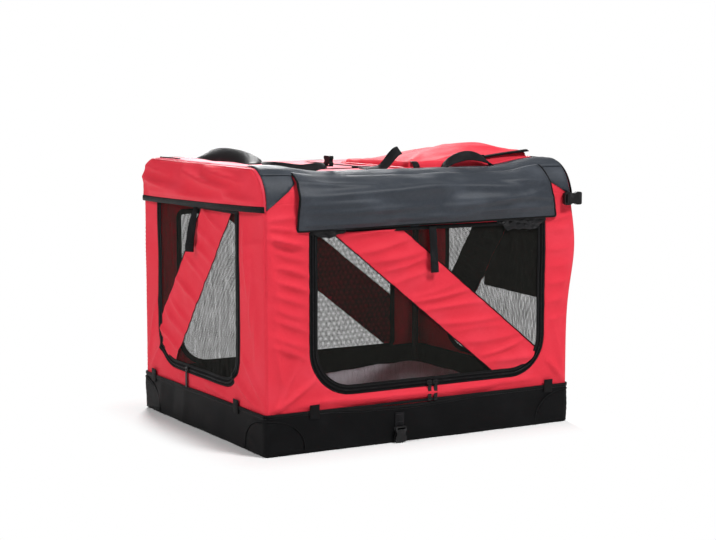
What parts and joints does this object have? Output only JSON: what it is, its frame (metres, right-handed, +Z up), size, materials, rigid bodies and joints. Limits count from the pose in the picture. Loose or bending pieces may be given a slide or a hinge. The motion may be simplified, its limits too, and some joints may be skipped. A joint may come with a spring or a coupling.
{
  "type": "folding fabric pet crate",
  "caption": "Folding soft-sided dog crate: jointed tube frame, fabric walls with net windows, zipped front and end doors, roof hatch and roof pocket.",
  "frame": {"origin": "middle of the crate's underside, on the floor it stands on", "axes": "+X to the right end, along the length; +Y to the rear; +Z up; the front door looks along -Y"},
  "size_m": [0.7865, 0.638, 0.6119],
  "materials": {
    "red_fabric": "coated woven polyester",
    "charcoal_fabric": "coated woven polyester with a slight sheen",
    "black_fabric": "coated woven polyester and zip tape",
    "black_webbing": "woven webbing",
    "black_net": "fine knitted mesh",
    "grey_fleece": "short pile",
    "black_plastic": "moulded, satin",
    "black_tube": "powder coated"
  },
  "bodies": {
    "base": {"base_frame": "black_tube", "floor_panel": "black_fabric", "fleece_mat": "grey_fleece", "base_band": "black_fabric", "front_wall": "red_fabric", "rear_wall": "red_fabric", "left_wall": "red_fabric", "right_wall": "red_fabric", "rear_window_net": "black_net", "rear_window_stripe": "red_fabric", "right_window_net": "black_net", "right_window_stripe": "red_fabric", "foot_bracket_front_left": "black_tube", "foot_bracket_front_right": "black_tube", "foot_bracket_rear_left": "black_tube", "foot_bracket_rear_right": "black_tube", "base_strap": "black_webbing"},
    "base_buckle": {"base_buckle": "black_plastic"},
    "left_lower_legs": {"left_front_lower_leg": "black_tube", "left_rear_lower_leg": "black_tube"},
    "left_upper_legs": {"left_upper_hoop": "black_tube"},
    "right_lower_legs": {"right_front_lower_leg": "black_tube", "right_rear_lower_leg": "black_tube"},
    "right_upper_legs": {"right_upper_hoop": "black_tube"},
    "roof": {"roof_panel": "red_fabric", "roof_pocket": "red_fabric", "front_roof_rail": "black_tube", "rear_roof_rail": "black_tube", "rail_saddle_front_left": "black_plastic", "rail_saddle_front_right": "black_plastic", "rail_saddle_rear_left": "black_plastic", "rail_saddle_rear_right": "black_plastic", "left_roof_strap": "black_webbing", "right_roof_strap": "black_webbing"},
    "roof_hatch": {"roof_hatch": "red_fabric"},
    "hatch_slider": {"hatch_slider": "black_plastic"},
    "pocket_slider": {"pocket_slider": "black_plastic"},
    "left_handle": {"left_handle": "black_webbing"},
    "right_handle": {"right_handle": "black_webbing"},
    "roof_buckle": {"roof_buckle": "black_plastic"},
    "side_buckle": {"side_buckle": "black_plastic"},
    "front_cover": {"front_cover": "charcoal_fabric"},
    "rear_cover": {"rear_cover": "red_fabric"},
    "left_cover": {"left_cover": "red_fabric"},
    "right_cover": {"right_cover": "red_fabric"},
    "front_door": {"front_door_net": "black_net", "front_door_zip": "black_fabric", "front_door_stripe": "red_fabric", "front_door_tie": "black_webbing"},
    "front_slider_left": {"front_zip_slider_left": "black_plastic"},
    "front_slider_right": {"front_zip_slider_right": "black_plastic"},
    "front_pull_left": {"front_zip_pull_left": "black_plastic"},
    "front_pull_right": {"front_zip_pull_right": "black_plastic"},
    "left_door": {"left_door_net": "black_net", "left_door_zip": "black_fabric", "left_door_stripe": "red_fabric", "left_door_tie": "black_webbing"},
    "left_slider": {"left_zip_slider": "black_plastic"},
    "left_pull": {"left_zip_pull": "black_plastic"}
  },
  "joints": [
    {"name": "left_foot_fold", "type": "hinge", "parent": "base", "child": "left_lower_legs", "pos_m": [-0.3465, 0, 0.034], "axis": [0, -1, 0], "range_deg": [-90, 0], "deforming": ["front_wall", "rear_wall", "left_wall", "right_wall", "rear_window_net", "rear_window_stripe", "right_window_net", "right_window_stripe", "front_door_net", "front_door_zip", "front_door_stripe", "front_door_tie", "left_door_net", "left_door_zip", "left_door_stripe", "left_door_tie", "front_cover", "rear_cover", "left_cover", "right_cover"]},
    {"name": "left_elbow_fold", "type": "hinge", "parent": "left_lower_legs", "child": "left_upper_legs", "pos_m": [-0.3595, 0, 0.3], "axis": [0, -1, 0], "range_deg": [0, 180]},
    {"name": "roof_pivot", "type": "hinge", "parent": "left_upper_legs", "child": "roof", "pos_m": [-0.3465, 0, 0.566], "axis": [0, -1, 0], "range_deg": [-90, 0]},
    {"name": "right_foot_fold", "type": "hinge", "parent": "base", "child": "right_lower_legs", "pos_m": [0.3465, 0, 0.034], "axis": [0, -1, 0], "range_deg": [0, 90]},
    {"name": "right_elbow_fold", "type": "hinge", "parent": "right_lower_legs", "child": "right_upper_legs", "pos_m": [0.3595, 0, 0.3], "axis": [0, -1, 0], "range_deg": [-180, 0]},
    {"name": "side_buckle_swing", "type": "hinge", "parent": "roof", "child": "side_buckle", "pos_m": [0.376, -0.3085, 0.512], "axis": [-1, 0, 0], "range_deg": [0, 90]},
    {"name": "base_buckle_swing", "type": "hinge", "parent": "base", "child": "base_buckle", "pos_m": [-0.063, -0.3133, 0.0365], "axis": [-1, 0, 0], "range_deg": [0, 110]},
    {"name": "roof_hatch_hinge", "type": "hinge", "parent": "roof", "child": "roof_hatch", "pos_m": [-0.125, 0.181, 0.5625], "axis": [-1, 0, 0], "range_deg": [0, 110]},
    {"name": "hatch_slider_slide", "type": "slide", "parent": "roof_hatch", "child": "hatch_slider", "axis": [1, 0, 0], "range_m": [-0.14, 0.01]},
    {"name": "pocket_slider_slide", "type": "slide", "parent": "roof", "child": "pocket_slider", "axis": [0.9909, 0, 0.1348], "range_m": [0, 0.085]},
    {"name": "left_handle_lift", "type": "hinge", "parent": "roof", "child": "left_handle", "pos_m": [-0.316, 0.016, 0.57944], "axis": [0, -1, 0], "range_deg": [0, 60]},
    {"name": "right_handle_lift", "type": "hinge", "parent": "roof", "child": "right_handle", "pos_m": [0.163, -0.2325, 0.5643], "axis": [1, 0, 0], "range_deg": [0, 60]},
    {"name": "roof_buckle_swing", "type": "hinge", "parent": "roof", "child": "roof_buckle", "pos_m": [-0.1785, -0.205, 0.5748], "axis": [0, 1, 0], "range_deg": [0, 85]},
    {"name": "front_cover_hinge", "type": "hinge", "parent": "roof", "child": "front_cover", "pos_m": [0, -0.274, 0.565], "axis": [-1, 0, 0], "range_deg": [0, 80]},
    {"name": "rear_cover_hinge", "type": "hinge", "parent": "roof", "child": "rear_cover", "pos_m": [0, 0.274, 0.565], "axis": [1, 0, 0], "range_deg": [0, 80]},
    {"name": "left_cover_hinge", "type": "hinge", "parent": "roof", "child": "left_cover", "pos_m": [-0.3745, 0, 0.5765], "axis": [0, 1, 0], "range_deg": [0, 80]},
    {"name": "right_cover_hinge", "type": "hinge", "parent": "roof", "child": "right_cover", "pos_m": [0.3745, 0, 0.5765], "axis": [0, -1, 0], "range_deg": [0, 80]},
    {"name": "front_door_hinge", "type": "hinge", "parent": "base", "child": "front_door", "pos_m": [0, -0.304, 0.45], "axis": [-1, 0, 0], "range_deg": [0, 90]},
    {"name": "front_slider_left_slide", "type": "slide", "parent": "front_door", "child": "front_slider_left", "axis": [1, 0, 0], "range_m": [-0.2, 0]},
    {"name": "front_slider_right_slide", "type": "slide", "parent": "front_door", "child": "front_slider_right", "axis": [1, 0, 0], "range_m": [0, 0.21]},
    {"name": "front_pull_left_swing", "type": "hinge", "parent": "front_slider_left", "child": "front_pull_left", "pos_m": [0.011, -0.3098, 0.1146], "axis": [-1, 0, 0], "range_deg": [0, 90]},
    {"name": "front_pull_right_swing", "type": "hinge", "parent": "front_slider_right", "child": "front_pull_right", "pos_m": [0.026, -0.3098, 0.1146], "axis": [-1, 0, 0], "range_deg": [0, 90]},
    {"name": "left_door_hinge", "type": "hinge", "parent": "base", "child": "left_door", "pos_m": [-0.3715, 0, 0.488], "axis": [0, 1, 0], "range_deg": [0, 90]},
    {"name": "left_slider_slide", "type": "slide", "parent": "left_door", "child": "left_slider", "axis": [0, 1, 0], "range_m": [-0.19, 0.07]},
    {"name": "left_pull_swing", "type": "hinge", "parent": "left_slider", "child": "left_pull", "pos_m": [-0.3773, 0.07, 0.1186], "axis": [0, 1, 0], "range_deg": [0, 90]}
  ],
  "couplings": [
    {"joint": "left_elbow_fold", "follows": "left_foot_fold", "ratio": -2},
    {"joint": "roof_pivot", "follows": "left_foot_fold", "ratio": 1},
    {"joint": "right_foot_fold", "follows": "left_foot_fold", "ratio": -1},
    {"joint": "right_elbow_fold", "follows": "left_foot_fold", "ratio": 2},
    {"joint": "side_buckle_swing", "follows": "left_foot_fold", "ratio": -1}
  ]
}
